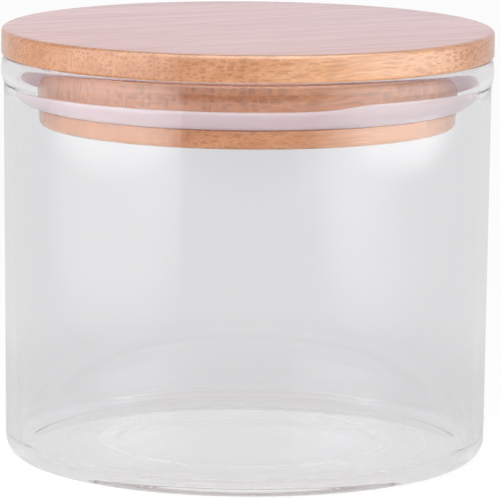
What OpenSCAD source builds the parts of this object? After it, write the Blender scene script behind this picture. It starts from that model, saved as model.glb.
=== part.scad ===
// Round glass food jar with a turned bamboo lid and a soft seal ring.
// The lid's disc rests on the rim, its plug hangs in the mouth, and the
// ring round the plug presses a thin lip against the glass.
// Millimetres, +Z up. The origin is the middle of the base, on the table.

/* [Glass jar] */
// Outside diameter of the wall, just under the bead of the mouth
jar_d = 120; // [90:1:180]
// Height from the table to the top of the rim
jar_h = 99.5; // [70:0.5:200]
// Thickness of the wall
wall_t = 2.6; // [2:0.1:4]
// How much smaller the outside radius is at the table than at the mouth
wall_draft = 0.7; // [0:0.1:2]
// Thickness of the floor where it meets the corner
floor_t = 2.8; // [2:0.1:5]
// Outside radius of the rounded bottom corner
corner_r = 5; // [3.5:0.5:9]
// Inside radius of the rounded bottom corner
inner_corner_r = 4; // [2:0.5:8]
// How far the bead of the mouth stands out of the wall
bead_out = 0.6; // [0.3:0.1:1]
// Height from the fullest point of the bead up to the rim
bead_drop = 3.3; // [3:0.1:5]
// How far the middle of the floor is pushed up inside
floor_rise = 2.2; // [1:0.1:3]
// How far the middle of the base is pushed up underneath
punt_h = 2.2; // [1:0.1:3]
// Inside radius of the flat ring that the jar stands on
foot_r = 46; // [36:1:50]
// Radius of the faint ring that the mould leaves under the base
mould_ring_r = 33.5; // [20:0.5:35]
// Width of that ring
mould_ring_w = 5; // [3:0.5:8]
// How far that ring stands out of the glass
mould_ring_out = 0.1; // [0.05:0.05:0.3]

/* [Bamboo lid] */
// Diameter of the disc that covers the mouth
lid_d = 121.2; // [90:0.2:185]
// Thickness of the disc
lid_t = 6.7; // [4:0.1:12]
// Rounding of the disc's upper edge
lid_top_round = 1.1; // [0.4:0.1:2]
// Rounding of the disc's lower edge
lid_low_round = 0.7; // [0.3:0.1:1.5]
// Free height between the rim and the disc where the ring holds the lid
seat_gap = 0.1; // [0.1:0.1:0.5]
// Radial room between the plug and the glass, which the seal's lip bridges
plug_room = 6.1; // [4:0.1:8]
// Depth of the plug under the disc
plug_depth = 16.8; // [15:0.1:24]
// Rounding of the plug's lower edge
plug_round = 1.2; // [0.4:0.1:2]
// Distance from the disc down to the seal groove
groove_drop = 8.6; // [7.4:0.1:9]
// Height of the seal groove
groove_h = 3.6; // [3:0.1:4.5]
// Depth of the seal groove in the plug
groove_depth = 2.8; // [2:0.1:4]
// Rounding of the groove's two shoulders
groove_ease = 0.4; // [0.2:0.1:0.8]
// Direction of the bamboo's fibres in plan, turned from +X
grain_angle = 27; // [0:1:90]

/* [Seal ring] */
// Free room between the ring and the bamboo round it
ring_fit = 0.1; // [0.05:0.05:0.2]
// Free room between the lip's tip and the glass
lip_fit = 0.1; // [0.05:0.05:0.2]
// How far the ring's body stands out of the groove
ring_proud = 0.3; // [0.1:0.1:0.6]
// Thickness of the lip
lip_t = 0.9; // [0.6:0.1:1.2]
// Distance from the disc down to the lip's tip
lip_drop = 6.9; // [6:0.1:7.2]
// Height of the curve of the lip over its chord
lip_bow = 0.7; // [0.4:0.1:1]

/* [Hidden] */
$fn = 128;

// Counts of the laths that are glued edge to edge in a ply
top_laths = 6;
plug_laths = 5;
plug_plies = 3;

// Narrow flats that each turned corner of the bamboo is eased with
ease_flats = 3;

// One overrun serves every cut
over = 1;

// The mouth: its bore, the rounded rim, and the bead that swells under it.
// The bead's arc is the one that touches the rim's arc from outside.
jar_r = jar_d / 2;
mouth_r = jar_r - wall_t;
rim_round_share = 0.47;
rim_round = rim_round_share * (wall_t + bead_out);
rim_x = mouth_r + rim_round;
rim_z = jar_h - rim_round;
bead_dx = jar_r + bead_out - rim_x;
bead_dz = bead_drop - rim_round;
bead_r = (bead_dx * bead_dx + bead_dz * bead_dz - rim_round * rim_round) / (2 * (bead_dx - rim_round));
bead_x = jar_r + bead_out - bead_r;
bead_z = jar_h - bead_drop;
bead_half = sqrt(bead_r * bead_r - (bead_r - bead_out) * (bead_r - bead_out));
bead_foot_z = bead_z - bead_half;
bead_low_angle = -asin(bead_half / bead_r);
bead_top_angle = asin(bead_dz / (bead_r - rim_round));

// The wall leans in by its draft, and both corners touch it and the base
draft_angle = atan(wall_draft / bead_foot_z);
corner_x = touching_x(jar_r, corner_r, corner_r);
inner_corner_z = floor_t + inner_corner_r;
inner_corner_x = touching_x(mouth_r, inner_corner_r, inner_corner_z);

// The floor and the push-up are shallow caps of large balls
floor_ball_r = cap_radius(inner_corner_x, floor_rise);
punt_ball_r = cap_radius(foot_r, punt_h);
punt_ball_z = punt_h - punt_ball_r;

// The mould ring is a low swelling that stands square to the push-up
mould_ring_round = cap_radius(mould_ring_w / 2, mould_ring_out);
mould_ring_tilt = asin(mould_ring_r / punt_ball_r);
mould_ring_reach = punt_ball_r + mould_ring_round - mould_ring_out;

// The lid hangs from the underside of its disc
seat_z = jar_h + seat_gap;
lid_r = lid_d / 2;
plug_r = mouth_r - plug_room;
ply_t = plug_depth / plug_plies;
top_lath_w = lid_d / top_laths;
plug_lath_w = 2 * plug_r / plug_laths;

// The ring's body fills the groove, and its lip is an arc up to the glass
ring_in_r = plug_r - groove_depth + ring_fit;
ring_out_r = plug_r + ring_proud;
ring_low_z = -groove_drop - groove_h + ring_fit;
ring_h = groove_h - 2 * ring_fit;
lip_root = [plug_r, ring_low_z + lip_t / 2];
lip_tip = [mouth_r - lip_fit - lip_t / 2, -lip_drop - lip_t / 2];
lip_chord = norm(lip_tip - lip_root);
lip_way = (lip_tip - lip_root) / lip_chord;
lip_arc_r = lip_chord * lip_chord / (8 * lip_bow) + lip_bow / 2;
lip_centre = (lip_root + lip_tip) / 2 + (lip_arc_r - lip_bow) * [-lip_way[1], lip_way[0]];

// Radius of the ball whose cap has this half width and height
function cap_radius(half, height) = (half * half + height * height) / (2 * height);

// Distance from the axis of an arc's centre, where the arc touches the wall
function touching_x(top_r, arc_r, centre_z) =
    top_r - (arc_r + (bead_foot_z - centre_z) * sin(draft_angle)) / cos(draft_angle);

// The point where such an arc meets the wall
function touch_point(x, z, arc_r) =
    [x + arc_r * cos(draft_angle), z - arc_r * sin(draft_angle)];

function ray(angle, length) = [length * cos(angle), length * sin(angle)];

// The jar's outline as if it were solid glass
module jar_outside() {
    polygon([
        [0, 0],
        [corner_x, 0],
        [corner_x, corner_r],
        touch_point(corner_x, corner_r, corner_r),
        [jar_r, bead_foot_z],
        [rim_x, rim_z],
        [0, rim_z]
    ]);
    translate([corner_x, corner_r])
        circle(r = corner_r);
    translate([rim_x, rim_z])
        circle(r = rim_round);
    translate([bead_x, bead_z])
        intersection() {
            circle(r = bead_r);
            polygon([
                [0, 0],
                ray(bead_low_angle, 2 * bead_r),
                ray(bead_top_angle, 2 * bead_r)
            ]);
        }
}

// The space for food, with the pushed-up floor left out of it
module jar_inside() {
    difference() {
        union() {
            polygon([
                [0, floor_t],
                [inner_corner_x, floor_t],
                [inner_corner_x, inner_corner_z],
                touch_point(inner_corner_x, inner_corner_z, inner_corner_r),
                [mouth_r, bead_foot_z],
                [mouth_r, rim_z],
                [mouth_r, jar_h + over],
                [0, jar_h + over]
            ]);
            translate([inner_corner_x, inner_corner_z])
                circle(r = inner_corner_r);
        }
        translate([0, floor_t + floor_rise - floor_ball_r])
            circle(r = floor_ball_r);
    }
}

// The lowest slice of a circle, whose rest would reach through the floor
module mould_ring_outline() {
    intersection() {
        translate([0, punt_ball_z])
            translate(ray(90 - mould_ring_tilt, mould_ring_reach))
                circle(r = mould_ring_round);
        translate([mould_ring_r - mould_ring_w, 0])
            square([2 * mould_ring_w, floor_t]);
    }
}

module glass_jar() {
    color([0.86, 0.91, 0.90, 0.4])
        rotate_extrude()
            union() {
                difference() {
                    jar_outside();
                    jar_inside();
                    translate([0, punt_ball_z])
                        circle(r = punt_ball_r);
                }
                mould_ring_outline();
            }
}

// Points round a corner that is turned in a few narrow flats, as a lathe tool
// leaves it before sanding. A radius of zero leaves the corner square.
function eased_corner(x, z, round_r, start_angle) =
    round_r == 0 ? [[x, z]]
    : [for (i = [0:ease_flats]) [x, z] + ray(start_angle + i * 90 / ease_flats, round_r)];

// Half outline of a turned disc that stands on z = 0, with eased edges
module turned_slab(r, h, low_round, top_round) {
    polygon(concat(
        [[0, 0]],
        eased_corner(r - low_round, low_round, low_round, -90),
        eased_corner(r - top_round, h - top_round, top_round, 0),
        [[0, h]]
    ));
}

module disc_outline() {
    turned_slab(lid_r, lid_t, lid_low_round, lid_top_round);
}

// The plug: a band above the groove, a neck inside the ring, a band below
module plug_outline() {
    low_band_h = plug_depth - groove_drop - groove_h;
    translate([0, -groove_drop])
        turned_slab(plug_r, groove_drop, groove_ease, 0);
    translate([0, -groove_drop - groove_h])
        square([plug_r - groove_depth, groove_h]);
    translate([0, -plug_depth])
        turned_slab(plug_r, low_band_h, plug_round, groove_ease);
}

// One lath of a turned ply: what lies between its two edges across the grain.
// The ply's half outline is the child, and its outermost laths reach past it.
module lath_of_ply(low_edge, high_edge, ply_low_z, ply_high_z) {
    intersection() {
        rotate_extrude()
            intersection() {
                children();
                translate([0, ply_low_z])
                    square([lid_r + over, ply_high_z - ply_low_z]);
            }
        rotate([0, 0, grain_angle])
            translate([-lid_r - over, low_edge, ply_low_z - over])
                cube([lid_d + 2 * over, high_edge - low_edge, ply_high_z - ply_low_z + 2 * over]);
    }
}

// Across the grain: the front edge of a numbered lath, counted from the front.
// The first and last laths run on past the turned edge.
function front_edge(number, count, width, start) =
    number == 1 ? -lid_r - over
    : number > count ? lid_r + over
    : start + (number - 1) * width;

// One lath of the disc, numbered from the front to the back
module lid_top_lath(number) {
    color("burlywood")
        translate([0, 0, seat_z])
            lath_of_ply(
                front_edge(number, top_laths, top_lath_w, -lid_r),
                front_edge(number + 1, top_laths, top_lath_w, -lid_r),
                0,
                lid_t
            )
                disc_outline();
}

// One lath of a plug ply. A staggered ply has one lath more and is shifted by
// half a lath, so that its joints lie over the middles of the next ply's laths.
module plug_lath(number, ply, staggered) {
    count = staggered ? plug_laths + 1 : plug_laths;
    start = staggered ? -plug_r - plug_lath_w / 2 : -plug_r;
    color("tan")
        translate([0, 0, seat_z])
            lath_of_ply(
                front_edge(number, count, plug_lath_w, start),
                front_edge(number + 1, count, plug_lath_w, start),
                -ply * ply_t,
                -(ply - 1) * ply_t
            )
                plug_outline();
}

module plug_upper_lath(number) {
    plug_lath(number, 1, false);
}

module plug_middle_lath(number) {
    plug_lath(number, 2, true);
}

module plug_lower_lath(number) {
    plug_lath(number, 3, false);
}

// Half outline of the curved lip: a stretch of a ring with a round tip
module lip_outline() {
    translate(lip_centre)
        intersection() {
            difference() {
                circle(r = lip_arc_r + lip_t / 2);
                circle(r = lip_arc_r - lip_t / 2);
            }
            polygon([
                [0, 0],
                2 * (lip_root - lip_centre),
                2 * (lip_tip - lip_centre)
            ]);
        }
    translate(lip_tip)
        circle(r = lip_t / 2);
}

module seal_ring() {
    color([0.93, 0.92, 0.91, 0.7])
        translate([0, 0, seat_z])
            rotate_extrude()
                union() {
                    translate([ring_in_r, ring_low_z])
                        square([ring_out_r - ring_in_r, ring_h]);
                    lip_outline();
                }
}

glass_jar();
seal_ring();
lid_top_lath(1);  // lid_top_lath_1
lid_top_lath(2);  // lid_top_lath_2
lid_top_lath(3);  // lid_top_lath_3
lid_top_lath(4);  // lid_top_lath_4
lid_top_lath(5);  // lid_top_lath_5
lid_top_lath(6);  // lid_top_lath_6
plug_upper_lath(1);  // plug_upper_lath_1
plug_upper_lath(2);  // plug_upper_lath_2
plug_upper_lath(3);  // plug_upper_lath_3
plug_upper_lath(4);  // plug_upper_lath_4
plug_upper_lath(5);  // plug_upper_lath_5
plug_middle_lath(1);  // plug_middle_lath_1
plug_middle_lath(2);  // plug_middle_lath_2
plug_middle_lath(3);  // plug_middle_lath_3
plug_middle_lath(4);  // plug_middle_lath_4
plug_middle_lath(5);  // plug_middle_lath_5
plug_middle_lath(6);  // plug_middle_lath_6
plug_lower_lath(1);  // plug_lower_lath_1
plug_lower_lath(2);  // plug_lower_lath_2
plug_lower_lath(3);  // plug_lower_lath_3
plug_lower_lath(4);  // plug_lower_lath_4
plug_lower_lath(5);  // plug_lower_lath_5
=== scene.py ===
from math import asin, atan2, cos, hypot, pi, radians, sin, sqrt

import bmesh
import bpy
from mathutils import Matrix, Vector


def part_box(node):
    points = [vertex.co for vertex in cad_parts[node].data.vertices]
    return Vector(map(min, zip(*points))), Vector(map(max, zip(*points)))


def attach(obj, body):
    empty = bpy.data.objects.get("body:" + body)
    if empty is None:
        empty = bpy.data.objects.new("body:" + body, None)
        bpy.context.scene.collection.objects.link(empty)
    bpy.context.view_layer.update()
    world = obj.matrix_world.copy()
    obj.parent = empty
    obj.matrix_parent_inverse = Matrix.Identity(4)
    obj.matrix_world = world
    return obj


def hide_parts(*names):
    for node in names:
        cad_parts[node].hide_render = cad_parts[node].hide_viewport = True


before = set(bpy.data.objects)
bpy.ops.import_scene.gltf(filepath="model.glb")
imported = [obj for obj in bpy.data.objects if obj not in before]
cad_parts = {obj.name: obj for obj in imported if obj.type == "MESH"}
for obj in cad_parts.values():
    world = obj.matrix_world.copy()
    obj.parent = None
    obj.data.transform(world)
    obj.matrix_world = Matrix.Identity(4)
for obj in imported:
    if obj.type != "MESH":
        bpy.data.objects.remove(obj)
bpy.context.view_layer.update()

MM = 0.001

# The jar's sizes, as they are in the part. The overall ones are read from the parts in model.glb.
jar_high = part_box("glass_jar")[1]
disc_low, disc_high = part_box("lid_top_lath_1")
plug_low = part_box("plug_lower_lath_3")[0]
BEAD_OUT = 0.6 * MM
BEAD_DROP = 3.3 * MM
WALL = 2.6 * MM
WALL_DRAFT = 0.7 * MM
JAR_R = jar_high.x - BEAD_OUT
JAR_H = jar_high.z
MOUTH_R = JAR_R - WALL
RIM_ROUND = 0.47 * (WALL + BEAD_OUT)
FLOOR = 2.8 * MM
FLOOR_RISE = 2.2 * MM
CORNER_R = 5.0 * MM
INNER_CORNER_R = 4.0 * MM
PUNT_H = 2.2 * MM
FOOT_R = 46.0 * MM
MOULD_RING_R = 33.5 * MM
MOULD_RING_OUT = 0.1 * MM
MOULD_RING_W = 5.0 * MM

SEAT_Z = disc_low.z
LID_R = 60.6 * MM
LID_T = disc_high.z - SEAT_Z
LID_TOP_ROUND = 1.1 * MM
LID_LOW_ROUND = 0.7 * MM
PLUG_R = MOUTH_R - 6.1 * MM
PLUG_DEPTH = SEAT_Z - plug_low.z
PLUG_ROUND = 1.2 * MM
GROOVE_DROP = 8.6 * MM
GROOVE_H = 3.6 * MM
GROOVE_DEPTH = 2.8 * MM
GROOVE_EASE = 0.4 * MM
GRAIN_ANGLE = radians(27)
TOP_LATHS = 6
PLUG_LATHS = 5
PLUG_PLIES = 3
PLY = PLUG_DEPTH / PLUG_PLIES
TOP_LATH_W = 2 * LID_R / TOP_LATHS
PLUG_LATH_W = 2 * PLUG_R / PLUG_LATHS

RING_FIT = 0.1 * MM
RING_PROUD = 0.3 * MM
LIP_FIT = 0.1 * MM
LIP_T = 0.9 * MM
LIP_DROP = 6.9 * MM
LIP_BOW = 0.7 * MM
LIP_FOOT = 0.5 * MM
# The glass pushes the lip up on the right of the front, from one angle to the next
LIP_RISE = 1.6 * MM
LIP_RISE_FROM = radians(13)
LIP_RISE_TO = radians(33)
LIP_FALL_TO = radians(200)
LIP_FALL_SPAN = radians(60)
LIP_BEND_POWER = 1.2

# How finely the forms are cut: steps round the axis, on an arc, or along a line
JAR_STEPS = 288
LID_STEPS = 256
ROUND_STEPS = 6
PUNT_STEPS = 24
MOULD_RING_STEPS = 8
FOOT_STEPS = 10
CORNER_STEPS = 14
INNER_CORNER_STEPS = 12
RIM_STEPS = 16
WALL_PARTS = 20
FLAT_PARTS = 4
RING_PARTS = 2
LIP_STEPS = 12
TIP_STEPS = 8
# Finer than the eye can part
TINY = 0.001 * MM
# Further than the plies reach
OVERRUN = 1.0 * MM


class Outline:
    """Half outline in the XZ plane, drawn by extruding and turning its last point."""

    def __init__(self, x, z):
        self.bm = bmesh.new()
        self.last = self.bm.verts.new((x, 0, z))

    def line(self, x, z, parts=1):
        start = self.last.co.copy()
        for i in range(parts):
            made = bmesh.ops.extrude_vert_indiv(self.bm, verts=[self.last])
            self.last = made["verts"][0]
            self.last.co = start.lerp(Vector((x, 0, z)), (i + 1) / parts)
        return self

    def arc(self, x, z, angle, steps):
        """Turns the last point round (x, z) by an angle, anticlockwise where it is positive."""
        made = bmesh.ops.spin(
            self.bm, geom=[self.last], cent=(x, 0, z), axis=(0, -1, 0), angle=angle, steps=steps,
            use_duplicate=False,
        )
        self.last = [v for v in made["geom_last"] if isinstance(v, bmesh.types.BMVert)][0]
        return self

    def turned(self, steps):
        """Spins the outline round Z into a closed shell whose faces point outwards."""
        bmesh.ops.spin(
            self.bm, geom=self.bm.verts[:] + self.bm.edges[:], cent=(0, 0, 0), axis=(0, 0, 1), angle=2 * pi,
            steps=steps, use_merge=True,
        )
        bmesh.ops.remove_doubles(self.bm, verts=self.bm.verts, dist=TINY)
        bmesh.ops.recalc_face_normals(self.bm, faces=self.bm.faces)
        return self.bm


def piece(name, bm, material, body, slot, *nodes, sharp=radians(35)):
    """Makes a finished object of a bmesh, which stands for CAD nodes and moves with their body."""
    mesh = bpy.data.meshes.new(name)
    bm.to_mesh(mesh)
    bm.free()
    mesh.polygons.foreach_set("use_smooth", [True] * len(mesh.polygons))
    mesh.set_sharp_from_angle(angle=sharp)
    mesh.materials.append(material)
    made = bpy.data.objects.new(name, mesh)
    bpy.context.scene.collection.objects.link(made)
    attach(made, body)
    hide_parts(*nodes)
    return made


def colour(hex_code):
    """An sRGB hex colour as linear RGBA."""
    parts = [int(hex_code[i:i + 2], 16) / 255 for i in (1, 3, 5)]
    return (*[p / 12.92 if p <= 0.04045 else ((p + 0.055) / 1.055) ** 2.4 for p in parts], 1.0)


def add(tree, kind, settings=None, inputs=None):
    """Adds a node. Settings are its properties. Inputs are values, or the outputs that they come from."""
    node = tree.nodes.new(kind)
    for name, value in (settings or {}).items():
        setattr(node, name, value)
    for name, value in (inputs or {}).items():
        if isinstance(value, bpy.types.NodeSocket):
            tree.links.new(value, node.inputs[name])
        else:
            node.inputs[name].default_value = value
    return node


def new_material(name):
    """An empty material, its node tree and its Principled shader, already joined to the output."""
    made = bpy.data.materials.new(name)
    made.use_nodes = True
    tree = made.node_tree
    tree.nodes.clear()
    shader = add(tree, "ShaderNodeBsdfPrincipled")
    add(tree, "ShaderNodeOutputMaterial", inputs={"Surface": shader.outputs[0]})
    return made, tree, shader


def borosilicate_glass():
    """Blown borosilicate glass, fire-polished: clear, smooth and all but colourless."""
    made, tree, shader = new_material("borosilicate_glass_fire_polished")
    shader.inputs["Base Color"].default_value = colour("#fdfdfe")
    shader.inputs["Transmission Weight"].default_value = 1.0
    shader.inputs["Roughness"].default_value = 0.0
    shader.inputs["IOR"].default_value = 1.474
    return made


def moulded_silicone():
    """Moulded food silicone: milky, faintly rose and a little clear, so that what is behind it shows."""
    made, tree, shader = new_material("silicone_moulded_translucent")
    shader.inputs["Base Color"].default_value = colour("#fcd7e6")
    shader.inputs["Subsurface Weight"].default_value = 1.0
    shader.inputs["Subsurface Radius"].default_value = (1.0, 0.9, 0.95)
    shader.inputs["Subsurface Scale"].default_value = 5.0 * MM
    shader.inputs["Roughness"].default_value = 0.3
    shader.inputs["IOR"].default_value = 1.41
    place = add(tree, "ShaderNodeTexCoord")
    flat = add(
        tree, "ShaderNodeVectorMath", {"operation": "MULTIPLY"}, {0: place.outputs["Object"], 1: (1, 1, 0)}
    )
    reach = add(tree, "ShaderNodeVectorMath", {"operation": "LENGTH"}, {0: flat.outputs[0]})
    # How clear it is, from the foot of the lip out to its tip
    foot_r, tip_r = PLUG_R + 1.5 * MM, PLUG_R + 5 * MM
    clear = add(
        tree, "ShaderNodeMapRange", inputs={0: reach.outputs["Value"], 1: foot_r, 2: tip_r, 3: 0.2, 4: 0.18}
    )
    tree.links.new(clear.outputs[0], shader.inputs["Transmission Weight"])
    return made


# The bamboo's pattern, in millimetres: along the fibres, across them, and up
WANDER_SIZE = (38.0, 22.0, 14.0)
WANDER_OUT = 3.2
FINE_SIZE = (9.0, 0.42, 0.42)
BROAD_SIZE = (70.0, 4.5, 4.0)
BUNDLE_GAP = 1.25
BUNDLE_LEAST, BUNDLE_MOST = 0.08, 0.42
BUNDLE_OUTSIDE, BUNDLE_INSIDE = -0.10, 0.08
GLUE_CORE, GLUE_EDGE = 0.06, 0.22
KNUCKLE_CORE, KNUCKLE_EDGE = 0.3, 1.6
KNUCKLE_SPREAD = 300.0
KNUCKLE_BEND = 3.0
# So far apart that no two laths show the same stretch of cane
LATH_SHIFT = 900.0
BUNDLE_SHIFT = 57.0
SEED_STEP = 17.31
# What the marks are stained with, and how much of it shows
BUNDLE_STAIN, BUNDLE_ON_LONG_GRAIN = "#94592a", 0.3
KNUCKLE_STAIN, KNUCKLE_SHARE = "#a87040", 0.2
GLUE_STAIN, GLUE_SHARE = "#8a5a30", 0.5
# How much darker or paler fine fibres and whole laths are
FINE_DARK, FINE_PALE = 0.80, 1.14
LATH_DARK, LATH_PALE = 0.95, 1.05
# The cosine with the fibres at which a face starts to show end grain, and shows nothing else
END_FROM, END_TO = 0.15, 0.75
SATIN, DULLER_END, DULLER_BUNDLE = 0.36, 0.10, 0.08


def laminated_bamboo(name, lath_w, count, start, seed, tan, pale, end_tint, dots):
    """Planed bamboo laths glued edge to edge, sanded and sealed with a satin oil.
    End grain shows the dark bundles as dots, and long grain shows them as streaks."""
    made, tree, shader = new_material(name)
    place = add(tree, "ShaderNodeTexCoord")
    # Along the fibres is X and across them is Y, in millimetres
    in_mm = add(
        tree, "ShaderNodeMapping", {"vector_type": "POINT"},
        {
            "Rotation": (0, 0, -GRAIN_ANGLE),
            "Scale": Vector((1, 1, 1)) / MM,
            "Vector": place.outputs["Object"],
        },
    )
    u, v, z = add(tree, "ShaderNodeSeparateXYZ", inputs={0: in_mm.outputs[0]}).outputs

    # Which lath this is, and three numbers of its own
    past_start = add(tree, "ShaderNodeMath", {"operation": "SUBTRACT"}, {0: v, 1: start / MM})
    laths_in = add(
        tree, "ShaderNodeMath", {"operation": "DIVIDE"}, {0: past_start.outputs[0], 1: lath_w / MM}
    )
    number = add(tree, "ShaderNodeMath", {"operation": "FLOOR"}, {0: laths_in.outputs[0]})
    seeded = add(tree, "ShaderNodeMath", {"operation": "ADD"}, {0: number.outputs[0], 1: seed * SEED_STEP})
    own = add(tree, "ShaderNodeTexWhiteNoise", {"noise_dimensions": "1D"}, {"W": seeded.outputs[0]})
    own_tone, own_shift, own_knuckle = add(
        tree, "ShaderNodeSeparateColor", inputs={0: own.outputs["Color"]}
    ).outputs

    # Distance to the nearest glue line, in millimetres
    nearest = add(tree, "ShaderNodeMath", {"operation": "ROUND"}, {0: laths_in.outputs[0]})
    after_first = add(tree, "ShaderNodeMath", {"operation": "MAXIMUM"}, {0: nearest.outputs[0], 1: 1.0})
    line = add(tree, "ShaderNodeMath", {"operation": "MINIMUM"}, {0: after_first.outputs[0], 1: count - 1.0})
    past_line = add(
        tree, "ShaderNodeMath", {"operation": "SUBTRACT"}, {0: laths_in.outputs[0], 1: line.outputs[0]}
    )
    in_laths = add(tree, "ShaderNodeMath", {"operation": "ABSOLUTE"}, {0: past_line.outputs[0]})
    to_glue = add(tree, "ShaderNodeMath", {"operation": "MULTIPLY"}, {0: in_laths.outputs[0], 1: lath_w / MM})
    glue = add(
        tree, "ShaderNodeMapRange", {"interpolation_type": "SMOOTHSTEP"},
        {0: to_glue.outputs[0], 1: GLUE_CORE, 2: GLUE_EDGE, 3: 1.0, 4: 0.0},
    ).outputs[0]

    # The fibres wander slowly as they run
    shifted_u = add(
        tree, "ShaderNodeMath", {"operation": "MULTIPLY_ADD"}, {0: own_shift, 1: LATH_SHIFT, 2: u}
    ).outputs[0]
    straight = add(tree, "ShaderNodeCombineXYZ", inputs={0: shifted_u, 1: v, 2: z})
    wander_at = add(
        tree, "ShaderNodeVectorMath", {"operation": "DIVIDE"}, {0: straight.outputs[0], 1: WANDER_SIZE}
    )
    wander = add(
        tree, "ShaderNodeTexNoise", {"noise_dimensions": "3D"},
        {"Scale": 1.0, "Detail": 1.0, "Vector": wander_at.outputs[0]},
    )
    wander_v, wander_z, wander_u = add(
        tree, "ShaderNodeSeparateColor", inputs={0: wander.outputs["Color"]}
    ).outputs
    fibre_v = add(tree, "ShaderNodeMath", {"operation": "MULTIPLY_ADD"}, {0: wander_v, 1: WANDER_OUT, 2: v})
    fibre_z = add(tree, "ShaderNodeMath", {"operation": "MULTIPLY_ADD"}, {0: wander_z, 1: WANDER_OUT, 2: z})
    fibre = add(
        tree, "ShaderNodeCombineXYZ", inputs={0: shifted_u, 1: fibre_v.outputs[0], 2: fibre_z.outputs[0]}
    )

    # Bundles: dark strands about 0.5 mm wide, a little over a millimetre apart
    bundle_shift = add(tree, "ShaderNodeMath", {"operation": "MULTIPLY"}, {0: own_shift, 1: BUNDLE_SHIFT})
    bundle_x = add(
        tree, "ShaderNodeMath", {"operation": "MULTIPLY_ADD"},
        {0: fibre_v.outputs[0], 1: 1 / BUNDLE_GAP, 2: bundle_shift.outputs[0]},
    )
    bundle_at = add(tree, "ShaderNodeCombineXYZ", inputs={0: bundle_x.outputs[0], 1: fibre_z.outputs[0]})
    bundles = add(
        tree, "ShaderNodeTexVoronoi", {"voronoi_dimensions": "2D", "feature": "F1"},
        {"Scale": 1.0, "Randomness": 0.85, "Vector": bundle_at.outputs[0]},
    )
    bundle_own = add(tree, "ShaderNodeSeparateColor", inputs={0: bundles.outputs["Color"]})
    bundle_size = add(
        tree, "ShaderNodeMapRange",
        inputs={0: bundle_own.outputs[0], 1: 0.0, 2: 1.0, 3: BUNDLE_LEAST, 4: BUNDLE_MOST},
    )
    inside = add(
        tree, "ShaderNodeMath", {"operation": "SUBTRACT"},
        {0: bundle_size.outputs[0], 1: bundles.outputs["Distance"]},
    )
    bundle = add(
        tree, "ShaderNodeMapRange", {"interpolation_type": "SMOOTHSTEP"},
        {0: inside.outputs[0], 1: BUNDLE_OUTSIDE, 2: BUNDLE_INSIDE, 3: 0.0, 4: 1.0},
    ).outputs[0]

    # Fine fibres between them, drawn out along the grain
    fine_at = add(tree, "ShaderNodeVectorMath", {"operation": "DIVIDE"}, {0: fibre.outputs[0], 1: FINE_SIZE})
    fine = add(
        tree, "ShaderNodeTexNoise", {"noise_dimensions": "3D"},
        {"Scale": 1.0, "Detail": 3.0, "Roughness": 0.6, "Vector": fine_at.outputs[0]},
    ).outputs["Fac"]

    # Broad pale and tan stripes in a lath
    broad_at = add(
        tree, "ShaderNodeVectorMath", {"operation": "DIVIDE"}, {0: fibre.outputs[0], 1: BROAD_SIZE}
    )
    broad = add(
        tree, "ShaderNodeTexNoise", {"noise_dimensions": "3D"},
        {"Scale": 1.0, "Detail": 2.0, "Vector": broad_at.outputs[0]},
    )

    # A knuckle of the cane crosses some laths
    knuckle_at = add(tree, "ShaderNodeMath", {"operation": "SUBTRACT"}, {0: own_knuckle, 1: 0.5})
    past_knuckle = add(
        tree, "ShaderNodeMath", {"operation": "MULTIPLY_ADD"},
        {0: knuckle_at.outputs[0], 1: -KNUCKLE_SPREAD, 2: u},
    )
    bent = add(
        tree, "ShaderNodeMath", {"operation": "MULTIPLY_ADD"},
        {0: wander_u, 1: KNUCKLE_BEND, 2: past_knuckle.outputs[0]},
    )
    to_knuckle = add(tree, "ShaderNodeMath", {"operation": "ABSOLUTE"}, {0: bent.outputs[0]})
    knuckle = add(
        tree, "ShaderNodeMapRange", {"interpolation_type": "SMOOTHSTEP"},
        {0: to_knuckle.outputs[0], 1: KNUCKLE_CORE, 2: KNUCKLE_EDGE, 3: KNUCKLE_SHARE, 4: 0.0},
    )

    # How far the surface faces along the fibres
    facing = add(
        tree, "ShaderNodeVectorMath", {"operation": "DOT_PRODUCT"},
        {0: place.outputs["Normal"], 1: (cos(GRAIN_ANGLE), sin(GRAIN_ANGLE), 0)},
    )
    either_way = add(tree, "ShaderNodeMath", {"operation": "ABSOLUTE"}, {0: facing.outputs["Value"]})
    end_grain = add(
        tree, "ShaderNodeMapRange", {"interpolation_type": "SMOOTHSTEP"},
        {0: either_way.outputs[0], 1: END_FROM, 2: END_TO, 3: 0.0, 4: 1.0},
    ).outputs[0]

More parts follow.
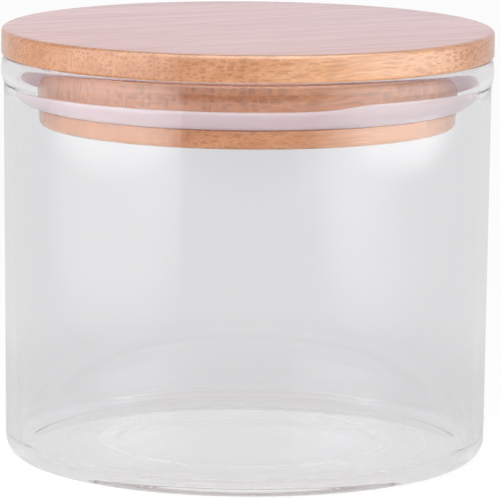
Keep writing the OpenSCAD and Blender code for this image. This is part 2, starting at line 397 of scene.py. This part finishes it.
    tones = add(tree, "ShaderNodeValToRGB", inputs={0: broad.outputs["Fac"]})
    for step, position, tone in zip(tones.color_ramp.elements, (0.30, 0.70), (tan, pale)):
        step.position, step.color = position, colour(tone)
    fine_shade = add(
        tree, "ShaderNodeMapRange", inputs={0: fine, 1: 0.3, 2: 0.7, 3: FINE_DARK, 4: FINE_PALE}
    )
    lath_shade = add(
        tree, "ShaderNodeMapRange", inputs={0: own_tone, 1: 0.0, 2: 1.0, 3: LATH_DARK, 4: LATH_PALE}
    )
    shade = add(
        tree, "ShaderNodeMath", {"operation": "MULTIPLY"},
        {0: fine_shade.outputs[0], 1: lath_shade.outputs[0]},
    )
    body = add(
        tree, "ShaderNodeVectorMath", {"operation": "SCALE"}, {0: tones.outputs[0], "Scale": shade.outputs[0]}
    )
    tinted = add(
        tree, "ShaderNodeMix", {"data_type": "RGBA", "blend_type": "MULTIPLY"},
        {0: end_grain, 6: body.outputs[0], 7: colour(end_tint)},
    )
    strength = add(
        tree, "ShaderNodeMapRange", inputs={0: end_grain, 1: 0.0, 2: 1.0, 3: BUNDLE_ON_LONG_GRAIN, 4: dots}
    )
    bundle_share = add(tree, "ShaderNodeMath", {"operation": "MULTIPLY"}, {0: bundle, 1: strength.outputs[0]})
    glue_share = add(tree, "ShaderNodeMath", {"operation": "MULTIPLY"}, {0: glue, 1: GLUE_SHARE})
    surface = tinted.outputs[2]
    for share, stain in (
        (bundle_share, BUNDLE_STAIN),
        (knuckle, KNUCKLE_STAIN),
        (glue_share, GLUE_STAIN),
    ):
        surface = add(
            tree, "ShaderNodeMix", {"data_type": "RGBA"}, {0: share.outputs[0], 6: surface, 7: colour(stain)}
        ).outputs[2]
    tree.links.new(surface, shader.inputs["Base Color"])

    # Satin, and duller where the grain ends and on the bundles
    dull_end = add(
        tree, "ShaderNodeMath", {"operation": "MULTIPLY_ADD"}, {0: end_grain, 1: DULLER_END, 2: SATIN}
    )
    dull = add(
        tree, "ShaderNodeMath", {"operation": "MULTIPLY_ADD"},
        {0: bundle, 1: DULLER_BUNDLE, 2: dull_end.outputs[0]},
    )
    tree.links.new(dull.outputs[0], shader.inputs["Roughness"])
    shader.inputs["IOR"].default_value = 1.5
    shader.inputs["Coat Weight"].default_value = 1.0
    shader.inputs["Coat Roughness"].default_value = 0.22
    shader.inputs["Coat IOR"].default_value = 1.5
    sunk = add(tree, "ShaderNodeMath", {"operation": "ADD"}, {0: bundle, 1: glue})
    raised = add(tree, "ShaderNodeMath", {"operation": "MULTIPLY"}, {0: fine, 1: 0.5})
    height = add(
        tree, "ShaderNodeMath", {"operation": "SUBTRACT"}, {0: raised.outputs[0], 1: sunk.outputs[0]}
    )
    bump = add(
        tree, "ShaderNodeBump", inputs={"Strength": 0.25, "Distance": 0.05 * MM, "Height": height.outputs[0]}
    )
    tree.links.new(bump.outputs[0], shader.inputs["Normal"])
    return made


def cap_radius(half, height):
    """Radius of the ball whose cap has this half width and height."""
    return (half * half + height * height) / (2 * height)


def jar_glass(material):
    """The jar: push-up, foot, corner, drafted wall, bead and rim outside, and the food space inside."""
    rim_x, rim_z = MOUTH_R + RIM_ROUND, JAR_H - RIM_ROUND
    bead_dx, bead_dz = JAR_R + BEAD_OUT - rim_x, BEAD_DROP - RIM_ROUND
    bead_r = (bead_dx ** 2 + bead_dz ** 2 - RIM_ROUND ** 2) / (2 * (bead_dx - RIM_ROUND))
    bead_x, bead_z = JAR_R + BEAD_OUT - bead_r, JAR_H - BEAD_DROP
    bead_half = sqrt(bead_r ** 2 - (bead_r - BEAD_OUT) ** 2)
    bead_foot_z = bead_z - bead_half
    bead_low = asin(bead_half / bead_r)
    bead_top = asin(bead_dz / (bead_r - RIM_ROUND))
    draft = atan2(WALL_DRAFT, bead_foot_z)

    def touching_x(top_r, arc_r, centre_z):
        """Where a corner's arc is centred, so that it touches the drafted wall."""
        return top_r - (arc_r + (bead_foot_z - centre_z) * sin(draft)) / cos(draft)

    corner_x = touching_x(JAR_R, CORNER_R, CORNER_R)
    inner_z = FLOOR + INNER_CORNER_R
    inner_x = touching_x(MOUTH_R, INNER_CORNER_R, inner_z)
    punt_r = cap_radius(FOOT_R, PUNT_H)
    punt_z = PUNT_H - punt_r
    floor_r = cap_radius(inner_x, FLOOR_RISE)
    floor_z = FLOOR + FLOOR_RISE - floor_r
    ring_half = MOULD_RING_W / 2
    ring_round = cap_radius(ring_half, MOULD_RING_OUT)

    # From the middle of the push-up out to the mould ring, round it, and on to the foot
    outline = Outline(0, PUNT_H)
    to_ring = asin((MOULD_RING_R - ring_half) / punt_r)
    outline.arc(0, punt_z, -to_ring, PUNT_STEPS)
    start = outline.last.co.copy()
    past_ring = asin((MOULD_RING_R + ring_half) / punt_r)
    end = Vector((punt_r * sin(past_ring), 0, punt_z + punt_r * cos(past_ring)))
    middle = (start + end) / 2
    up = sqrt(ring_round ** 2 - (end - start).length_squared / 4)
    centre = middle + up * Vector((sin(past_ring), 0, cos(past_ring)))
    sweep = 2 * asin((end - start).length / 2 / ring_round)
    outline.arc(centre.x, centre.z, sweep, MOULD_RING_STEPS)
    outline.arc(0, punt_z, -(asin(FOOT_R / punt_r) - past_ring), FOOT_STEPS)
    outline.line(corner_x, 0, FLAT_PARTS)
    # Up the outside, over the bead and the rim, and down into the food space
    outline.arc(corner_x, CORNER_R, pi / 2 - draft, CORNER_STEPS)
    outline.line(JAR_R, bead_foot_z, WALL_PARTS)
    outline.arc(bead_x, bead_z, bead_low + bead_top, RIM_STEPS)
    outline.arc(rim_x, rim_z, pi - bead_top, RIM_STEPS)
    outline.line(MOUTH_R, bead_foot_z, FLAT_PARTS)
    inner_touch_x = inner_x + INNER_CORNER_R * cos(draft)
    inner_touch_z = inner_z - INNER_CORNER_R * sin(draft)
    outline.line(inner_touch_x, inner_touch_z, WALL_PARTS)
    outline.arc(inner_x, inner_z, -(pi / 2 - draft), INNER_CORNER_STEPS)
    outline.arc(0, floor_z, asin(inner_x / floor_r), PUNT_STEPS)
    bm = outline.turned(JAR_STEPS)
    return piece("jar_glass", bm, material, "jar", "clear_glass", "glass_jar", sharp=radians(60))


def lip_rise(angle):
    """How far the lip is pushed up by the glass at this angle from the front, as a share."""
    rise = min(max((angle - LIP_RISE_FROM) / (LIP_RISE_TO - LIP_RISE_FROM), 0), 1)
    fall = min(max((LIP_FALL_TO - angle) / LIP_FALL_SPAN, 0), 1)
    return rise * rise * (3 - 2 * rise) * fall * fall * (3 - 2 * fall)


def silicone_ring(material):
    """The seal: a square body in the groove and a curled lip that feels for the glass."""
    ring_in = PLUG_R - GROOVE_DEPTH + RING_FIT
    ring_out = PLUG_R + RING_PROUD
    low_z = SEAT_Z - GROOVE_DROP - GROOVE_H + RING_FIT
    high_z = low_z + GROOVE_H - 2 * RING_FIT
    root = Vector((PLUG_R, 0, low_z + LIP_T / 2))
    tip = Vector((MOUTH_R - LIP_FIT - LIP_T / 2, 0, SEAT_Z - LIP_DROP - LIP_T / 2))
    chord = (tip - root).length
    way = (tip - root) / chord
    arc_r = chord ** 2 / (8 * LIP_BOW) + LIP_BOW / 2
    centre = (root + tip) / 2 + (arc_r - LIP_BOW) * Vector((-way.z, 0, way.x))
    sweep = 2 * asin(chord / 2 / arc_r)
    root_way = (root - centre).normalized()
    under = centre + (arc_r + LIP_T / 2) * root_way
    inner_root = centre + (arc_r - LIP_T / 2) * root_way
    outline = Outline(ring_in, low_z)
    outline.line(under.x, under.z, RING_PARTS)
    outline.arc(centre.x, centre.z, sweep, LIP_STEPS)
    outline.arc(tip.x, tip.z, pi, TIP_STEPS)
    outline.arc(centre.x, centre.z, -sweep, LIP_STEPS)
    outline.line(ring_out, inner_root.z + LIP_FOOT, RING_PARTS)
    outline.line(ring_out, high_z, RING_PARTS)
    outline.line(ring_in, high_z, RING_PARTS)
    outline.line(ring_in, low_z, RING_PARTS)
    bm = outline.turned(JAR_STEPS)
    for v in bm.verts:
        out = max(0.0, (hypot(v.co.x, v.co.y) - ring_out) / (MOUTH_R - PLUG_R))
        v.co.z += LIP_RISE * lip_rise(atan2(v.co.x, -v.co.y)) * out ** LIP_BEND_POWER
    return piece("seal_silicone", bm, material, "seal", "clear_silicone", "seal_ring", sharp=radians(50))


def disc_outline():
    """The lid's disc, with its two rounded edges."""
    outline = Outline(0, SEAT_Z)
    outline.line(LID_R - LID_LOW_ROUND, SEAT_Z)
    outline.arc(LID_R - LID_LOW_ROUND, SEAT_Z + LID_LOW_ROUND, pi / 2, ROUND_STEPS)
    outline.line(LID_R, SEAT_Z + LID_T - LID_TOP_ROUND)
    outline.arc(LID_R - LID_TOP_ROUND, SEAT_Z + LID_T - LID_TOP_ROUND, pi / 2, ROUND_STEPS)
    outline.line(0, SEAT_Z + LID_T)
    return outline


def plug_outline():
    """The plug: a band above the seal's groove, the neck inside the ring, and a band below."""
    groove_top = SEAT_Z - GROOVE_DROP
    groove_low = groove_top - GROOVE_H
    bottom = SEAT_Z - PLUG_DEPTH
    neck = PLUG_R - GROOVE_DEPTH
    outline = Outline(0, bottom)
    outline.line(PLUG_R - PLUG_ROUND, bottom)
    outline.arc(PLUG_R - PLUG_ROUND, bottom + PLUG_ROUND, pi / 2, ROUND_STEPS)
    outline.line(PLUG_R, groove_low - GROOVE_EASE)
    outline.arc(PLUG_R - GROOVE_EASE, groove_low - GROOVE_EASE, pi / 2, ROUND_STEPS)
    outline.line(neck, groove_low)
    outline.line(neck, groove_top)
    outline.line(PLUG_R - GROOVE_EASE, groove_top)
    outline.arc(PLUG_R - GROOVE_EASE, groove_top + GROOVE_EASE, pi / 2, ROUND_STEPS)
    outline.line(PLUG_R, SEAT_Z)
    outline.line(0, SEAT_Z)
    return outline


def cut(bm, point, normal):
    """Cuts away what lies beyond a plane, and closes the cut."""
    geometry = bm.verts[:] + bm.edges[:] + bm.faces[:]
    made = bmesh.ops.bisect_plane(
        bm, geom=geometry, dist=TINY, plane_co=point, plane_no=normal, clear_outer=True
    )
    edges = [e for e in made["geom_cut"] if isinstance(e, bmesh.types.BMEdge)]
    bmesh.ops.holes_fill(bm, edges=edges, sides=0)


def lath(turned, low, high, floor_z, top_z, radius):
    """One lath out of a turned block: what lies between its two edges across the grain."""
    bm = turned.copy()
    across = Vector((-sin(GRAIN_ANGLE), cos(GRAIN_ANGLE), 0))
    if low > -radius:
        cut(bm, across * low, -across)
    if high < radius:
        cut(bm, across * high, across)
    cut(bm, (0, 0, floor_z), (0, 0, -1))
    cut(bm, (0, 0, top_z), (0, 0, 1))
    return bm


def lay_ply(name, node, outline, radius, count, width, start, floor_z, top_z, material):
    """A ply of laths that stand for the numbered nodes of the same ply."""
    turned = outline.turned(LID_STEPS)
    for i in range(count):
        low, high = start + i * width, start + (i + 1) * width
        bm = lath(turned, low, high, floor_z, top_z, radius - TINY)
        piece(f"{name}_{i + 1}", bm, material, "lid", "bamboo", f"{node}_{i + 1}")
    turned.free()


def bamboo_lid():
    """The disc's ply and the plug's three plies, the middle one staggered by half a lath."""
    top = laminated_bamboo(
        "bamboo_laminated_disc", TOP_LATH_W, TOP_LATHS, -LID_R, 1, "#c4895b", "#d5a078", "#dcc8b0", dots=0.72
    )
    lay_ply(
        "bamboo_disc_lath", "lid_top_lath", disc_outline(), LID_R, TOP_LATHS, TOP_LATH_W, -LID_R,
        SEAT_Z - OVERRUN, SEAT_Z + LID_T + OVERRUN, top,
    )
    # The plug's plies are lighter and redder than the disc, partly their own tone and partly painted light
    # that makes up for the light the glass and the disc's overhang keep from them
    tones = (
        ("upper", "#d28850", "#e09c64"),
        ("middle", "#d28850", "#e09c64"),
        ("lower", "#cc8a59", "#db9d6c"),
    )
    for ply, (word, tan, pale) in enumerate(tones):
        staggered = word == "middle"
        count = PLUG_LATHS + staggered
        start = -PLUG_R - PLUG_LATH_W / 2 * staggered
        bamboo = laminated_bamboo(
            f"bamboo_laminated_plug_{word}", PLUG_LATH_W, count, start, ply + 2, tan, pale, "#ecdccb",
            dots=0.5,
        )
        lay_ply(
            f"bamboo_plug_{word}_lath", f"plug_{word}_lath", plug_outline(), PLUG_R, count, PLUG_LATH_W,
            start, SEAT_Z - (ply + 1) * PLY, SEAT_Z - ply * PLY, bamboo,
        )


def photo_camera():
    """The photograph's camera: a long lens, a little above the lid, turned a hair on its axis."""
    lens_px, frame_px, sensor, sight = 4850.5, 500, 36.0, 50
    distance, height = 1.1860, 0.23817
    pitch, roll, yaw = 0.1567, 0.0086, radians(0.045)
    right = Vector((cos(yaw), -sin(yaw), 0))
    level = Vector((sin(yaw), cos(yaw), 0))
    forward = level * cos(pitch) - Vector((0, 0, 1)) * sin(pitch)
    up = right.cross(forward)
    right, up = right * cos(roll) + up * sin(roll), up * cos(roll) - right * sin(roll)
    data = bpy.data.cameras.new("photo_camera")
    data.sensor_width = sensor
    data.lens = lens_px / frame_px * sensor
    data.clip_end = sight
    made = bpy.data.objects.new("photo_camera", data)
    turn = Matrix((right, up, -forward)).transposed().to_4x4()
    made.matrix_world = Matrix.Translation((0, -distance, height)) @ turn
    bpy.context.scene.collection.objects.link(made)
    bpy.context.scene.camera = made


def stage_piece(name, bm, material):
    """Makes an object of the studio, which isn't part of the jar."""
    mesh = bpy.data.meshes.new(name)
    bm.to_mesh(mesh)
    bm.free()
    mesh.materials.append(material)
    made = bpy.data.objects.new(name, mesh)
    bpy.context.scene.collection.objects.link(made)
    return made


def studio_floor():
    """A plain pale floor that glows softly from below, as a lit acrylic sheet does. In gloss and through
    glass it shows a painted shadow in a ring round the jar, painted light under the jar, and painted shade
    far in front.
    """
    floor_r, floor_steps = 9.0, 96
    # How brightly it glows, seen in gloss and in glass: painted light under the jar, a painted shadow in the
    # ring round it, and plain further out
    under, ring, out = 0.52, 0.455, 0.53
    # How brightly it glows to the camera, and where it lights something
    plain, lighting = 0.76, 1.14
    # How far from the middle the painted shadow's ring starts and ends, and where the painted shade far in
    # front starts and ends
    shadow_ring_start, shadow_ring_end, edge = (0.045, 0.075), (0.12, 0.22), (-0.46, -0.60)
    bm = bmesh.new()
    bmesh.ops.create_circle(bm, cap_ends=True, radius=floor_r, segments=floor_steps)
    paper, tree, shader = new_material("white_acrylic_with_painted_shade")
    shader.inputs["Base Color"].default_value = colour("#959595")
    shader.inputs["Emission Color"].default_value = (1, 1, 1, 1)
    shader.inputs["Roughness"].default_value = 0.9
    shader.inputs["Specular IOR Level"].default_value = 0.0
    rays = add(tree, "ShaderNodeLightPath")
    place = add(tree, "ShaderNodeTexCoord").outputs["Object"]
    reach = add(tree, "ShaderNodeVectorMath", {"operation": "LENGTH"}, {0: place}).outputs["Value"]
    parts = add(tree, "ShaderNodeSeparateXYZ", inputs={0: place})
    # The painted shadow in a ring round the jar's foot, and the painted light under the jar, shown only in
    # gloss and through glass
    shadow_ring_glow = add(
        tree, "ShaderNodeMapRange", {"interpolation_type": "SMOOTHSTEP"},
        {0: reach, 1: shadow_ring_end[0], 2: shadow_ring_end[1], 3: ring, 4: out},
    )
    painted_light_and_shadow_glow = add(
        tree, "ShaderNodeMapRange", {"interpolation_type": "SMOOTHSTEP"},
        {0: reach, 1: shadow_ring_start[0], 2: shadow_ring_start[1], 3: under, 4: shadow_ring_glow.outputs[0]},
    )
    # Painted shade far in front of the jar, shown only in gloss and through glass
    painted_front_shade = add(
        tree, "ShaderNodeMapRange", {"interpolation_type": "SMOOTHSTEP"},
        {0: parts.outputs[1], 1: edge[0], 2: edge[1], 3: painted_light_and_shadow_glow.outputs[0], 4: 0.0},
    )
    seen = add(
        tree, "ShaderNodeMapRange",
        inputs={0: rays.outputs["Is Camera Ray"], 1: 0.0, 2: 1.0, 3: painted_front_shade.outputs[0], 4: plain},
    )
    glow = add(
        tree, "ShaderNodeMapRange",
        inputs={0: rays.outputs["Diffuse Depth"], 1: 0.0, 2: 1.0, 3: seen.outputs[0], 4: lighting},
    )
    tree.links.new(glow.outputs[0], shader.inputs["Emission Strength"])
    stage_piece("studio_floor", bm, paper)


def soft_box(name, x, y, width, height, radiance, low_shares, high_shares):
    """A standing soft box that faces the jar and is dimmer at its foot.
    It lights the part and shows in its gloss, but isn't seen itself, through the glass either.
    Its shares are its brightness along its width, first low down and then higher up."""
    low_to, high_from, fade_to, faded = 0.043, 0.055, 0.022, 0.3
    data = bpy.data.lights.new(name, "AREA")
    data.shape = "RECTANGLE"
    data.size = width
    data.size_y = height
    data.energy = radiance * pi * width * height
    data.use_nodes = True
    tree = data.node_tree
    tree.nodes.clear()
    rays = add(tree, "ShaderNodeLightPath")
    place = add(tree, "ShaderNodeNewGeometry")
    share = add(tree, "ShaderNodeSeparateXYZ", inputs={0: place.outputs["Parametric"]})

    # Hidden where only glass has been passed, and halved past three faces of it
    bounced = add(
        tree, "ShaderNodeMath", {"operation": "ADD"},
        {0: rays.outputs["Diffuse Depth"], 1: rays.outputs["Glossy Depth"]},
    )
    unbounced = add(tree, "ShaderNodeMath", {"operation": "LESS_THAN"}, {0: bounced.outputs[0], 1: 0.5})
    glass, gloss, deep = [
        add(tree, "ShaderNodeMath", {"operation": operation}, {0: rays.outputs[depth], 1: limit})
        for depth, operation, limit in (
            ("Transmission Depth", "GREATER_THAN", 0.5),
            ("Diffuse Depth", "LESS_THAN", 0.5),
            ("Transmission Depth", "GREATER_THAN", 2.5),
        )
    ]
    through = add(
        tree, "ShaderNodeMath", {"operation": "MULTIPLY"}, {0: unbounced.outputs[0], 1: glass.outputs[0]}
    )
    shown = add(tree, "ShaderNodeMath", {"operation": "SUBTRACT"}, {0: 1.0, 1: through.outputs[0]})
    inner = add(tree, "ShaderNodeMath", {"operation": "MULTIPLY"}, {0: gloss.outputs[0], 1: deep.outputs[0]})
    dimmed = add(
        tree, "ShaderNodeMath", {"operation": "MULTIPLY_ADD"}, {0: inner.outputs[0], 1: -0.5, 2: 1.0}
    )

    ramps = []
    for shares in (low_shares, high_shares):
        ramp = add(tree, "ShaderNodeValToRGB", inputs={0: share.outputs[0]})
        ramp.color_ramp.interpolation = "B_SPLINE"
        steps = ramp.color_ramp.elements
        while len(steps) < len(shares):
            steps.new(1.0)
        for i, part in enumerate(shares if x > 0 else shares[::-1]):
            steps[i].position = i / (len(shares) - 1)
            steps[i].color = (part, part, part, 1)
        ramps.append(ramp.outputs[0])
    profile = add(
        tree, "ShaderNodeMapRange", {"interpolation_type": "SMOOTHSTEP"},
        {0: share.outputs[1], 1: low_to / height, 2: high_from / height, 3: ramps[0], 4: ramps[1]},
    )
    fade = add(
        tree, "ShaderNodeMapRange", {"interpolation_type": "SMOOTHSTEP"},
        {0: share.outputs[1], 1: 0.0, 2: fade_to / height, 3: faded},
    )
    strength = shown.outputs[0]
    for factor in (dimmed, profile, fade):
        strength = add(
            tree, "ShaderNodeMath", {"operation": "MULTIPLY"}, {0: strength, 1: factor.outputs[0]}
        ).outputs[0]
    shine = add(tree, "ShaderNodeEmission", inputs={"Strength": strength})
    add(tree, "ShaderNodeOutputLight", inputs={"Surface": shine.outputs[0]})

    made = bpy.data.objects.new(name, data)
    made.visible_camera = False
    away = Vector((x, y, 0)).normalized()
    across = Vector((0, 0, 1)).cross(away)
    turn = Matrix((across, (0, 0, 1), away)).transposed().to_4x4()
    made.matrix_world = Matrix.Translation((x, y, height / 2)) @ turn
    bpy.context.scene.collection.objects.link(made)


def studio_arch():
    """A lit cloth that curves over the jar from the front: it shows only in gloss and in glass."""
    arch_r, middle_z, low, sweep = 1.2, 0.1, radians(20), radians(80)
    steps_up, steps_round = 16, 24
    # Brightest overhead in gloss, and even where it lights what is behind the glass
    dim_z, bright_z = 0.6, 1.0
    dim, bright, even = 2.0, 4.8, 3.8
    outline = Outline(arch_r * cos(low), middle_z + arch_r * sin(low))
    outline.arc(0, middle_z, sweep, steps_up)
    bm = outline.bm
    bmesh.ops.spin(
        bm, geom=bm.verts[:] + bm.edges[:], cent=(0, 0, 0), axis=(0, 0, 1), angle=-pi, steps=steps_round
    )
    cloth, tree, shader = new_material("lit_cloth")
    shader.inputs["Base Color"].default_value = (0, 0, 0, 1)
    shader.inputs["Emission Color"].default_value = (1, 1, 1, 1)
    rays = add(tree, "ShaderNodeLightPath")
    place = add(tree, "ShaderNodeTexCoord")
    parts = add(tree, "ShaderNodeSeparateXYZ", inputs={0: place.outputs["Object"]})
    high = add(
        tree, "ShaderNodeMapRange", {"interpolation_type": "SMOOTHSTEP"},
        {0: parts.outputs[2], 1: dim_z, 2: bright_z, 3: dim, 4: bright},
    )
    shown = add(
        tree, "ShaderNodeMapRange",
        inputs={0: rays.outputs["Diffuse Depth"], 1: 0.0, 2: 1.0, 3: high.outputs[0], 4: even},
    )
    tree.links.new(shown.outputs[0], shader.inputs["Emission Strength"])
    made = stage_piece("studio_arch", bm, cloth)
    made.visible_camera = False
    made.visible_diffuse = False
    made.visible_shadow = False


def studio_tent():
    """A soft white tent: brighter low down in front, and faintly lavender behind the lid."""
    # Its tones all round and behind the lid, each also through glass, then low in front and to the camera
    white, white_through_glass = (0.62, 0.62, 0.62, 1), (0.81, 0.81, 0.81, 1)
    lavender, lavender_through_glass = (0.95, 0.83, 0.93, 1), (0.83, 0.83, 0.83, 1)
    bright, to_the_camera = (1.4, 1.4, 1.4, 1), (0.97, 0.97, 0.97, 1)
    world = bpy.data.worlds.new("studio_tent")
    world.use_nodes = True
    tree = world.node_tree
    tree.nodes.clear()
    way = add(tree, "ShaderNodeTexCoord")
    parts = add(tree, "ShaderNodeSeparateXYZ", inputs={0: way.outputs["Generated"]})
    rays = add(tree, "ShaderNodeLightPath")
    sharp = add(
        tree, "ShaderNodeMath", {"operation": "LESS_THAN"}, {0: rays.outputs["Diffuse Depth"], 1: 0.5}
    )
    glass = add(
        tree, "ShaderNodeMath", {"operation": "MULTIPLY", "use_clamp": True},
        {0: rays.outputs["Transmission Depth"], 1: sharp.outputs[0]},
    )
    all_round = add(
        tree, "ShaderNodeMix", {"data_type": "RGBA"}, {0: glass.outputs[0], 6: white, 7: white_through_glass}
    )
    front = add(
        tree, "ShaderNodeMapRange", {"interpolation_type": "SMOOTHSTEP"},
        {0: parts.outputs[1], 1: 0.2, 2: -0.6, 3: 0.0, 4: 1.0},
    )
    low = add(
        tree, "ShaderNodeMapRange", {"interpolation_type": "SMOOTHSTEP"},
        {0: parts.outputs[2], 1: 0.55, 2: 0.25, 3: 0.0, 4: 1.0},
    )
    low_front = add(
        tree, "ShaderNodeMath", {"operation": "MULTIPLY"}, {0: front.outputs[0], 1: low.outputs[0]}
    )
    tent = add(
        tree, "ShaderNodeMix", {"data_type": "RGBA"},
        {0: low_front.outputs[0], 6: all_round.outputs[2], 7: bright},
    )
    behind = add(
        tree, "ShaderNodeMapRange", {"interpolation_type": "SMOOTHSTEP"},
        {0: parts.outputs[1], 1: 0.5, 2: 0.9, 3: 0.0, 4: 1.0},
    )
    back = add(
        tree, "ShaderNodeMix", {"data_type": "RGBA"},
        {0: glass.outputs[0], 6: lavender, 7: lavender_through_glass},
    )
    light = add(
        tree, "ShaderNodeMix", {"data_type": "RGBA"},
        {0: behind.outputs[0], 6: tent.outputs[2], 7: back.outputs[2]},
    )
    plain = add(
        tree, "ShaderNodeMix", {"data_type": "RGBA"},
        {0: rays.outputs["Is Camera Ray"], 6: light.outputs[2], 7: to_the_camera},
    )
    shine = add(tree, "ShaderNodeBackground", inputs={"Color": plain.outputs[2]})
    add(tree, "ShaderNodeOutputWorld", inputs={"Surface": shine.outputs[0]})
    bpy.context.scene.world = world


photo_camera()
studio_floor()
studio_arch()
soft_box(
    "soft_box_left", x=-0.212, y=-0.104, width=0.34, height=0.20, radiance=2.1,
    low_shares=(0.15, 0.38, 0.38, 0.36, 0.32, 0.16, 0.0),
    high_shares=(0.4, 0.95, 1.1, 1.05, 0.85, 0.40, 0.1),
)
soft_box(
    "soft_box_right", x=0.228, y=-0.074, width=0.43, height=0.14, radiance=2.3,
    low_shares=(0.0, 0.43, 0.36, 0.13, 0.02, 0.0, 0.0),
    high_shares=(0.0, 0.35, 1.05, 1.55, 0.65, 0.10, 0.0),
)
studio_tent()
bpy.context.scene.view_settings.view_transform = "Standard"
# Enough bounces for the light to find its way through the thick foot of the glass
bpy.context.scene.cycles.use_denoising = True
bpy.context.scene.cycles.max_bounces = 32
bpy.context.scene.cycles.glossy_bounces = 24
bpy.context.scene.cycles.transmission_bounces = 24
jar_glass(borosilicate_glass())
silicone_ring(moulded_silicone())
bamboo_lid()
